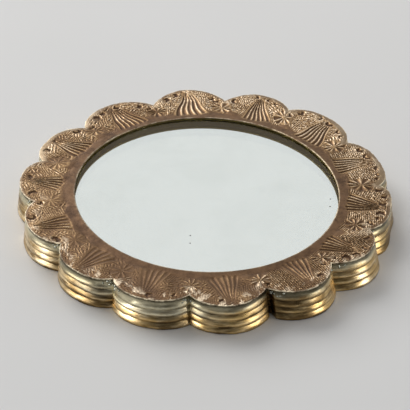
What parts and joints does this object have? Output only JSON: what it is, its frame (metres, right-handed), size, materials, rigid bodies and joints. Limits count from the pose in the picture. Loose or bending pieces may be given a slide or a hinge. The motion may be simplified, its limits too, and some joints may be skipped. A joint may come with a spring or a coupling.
{
  "type": "framed wall mirror",
  "caption": "Round mirror in a hollow, scalloped brass sheet frame with a chased face and reeded, flared sides, clipped in over a wooden back with a swinging ring to hang it by.",
  "frame": {"origin": "centre of the back plane, which the foot of the side strip rests on", "axes": "+Z out of the mirror's face, +Y up when it hangs on a wall, +X to the viewer's right"},
  "size_m": [0.1496, 0.1524, 0.0132],
  "materials": {
    "chased_brass": "brown patina, rubbed",
    "reeded_brass": "polished, tarnished",
    "clear_glass": "polished",
    "silvering": "mirror",
    "grey_card": "matt",
    "board_wood": "bare, sawn",
    "clip_brass": "dull",
    "hanger_brass": "dull"
  },
  "bodies": {
    "mirror": {"face_plate": "chased_brass", "side_band": "reeded_brass", "mirror_glass": "clear_glass", "mirror_silvering": "silvering", "packing_card": "grey_card", "backing_board": "board_wood", "retaining_clips": "clip_brass", "hanger_strap": "hanger_brass", "strap_brads": "hanger_brass"},
    "ring": {"hanger_ring": "hanger_brass"}
  },
  "joints": [
    {"name": "ring_swing", "type": "hinge", "parent": "mirror", "child": "ring", "pos_m": [0, 0.036, 0.00304], "axis": [-1, 0, 0], "range_deg": [-4, 165]}
  ]
}
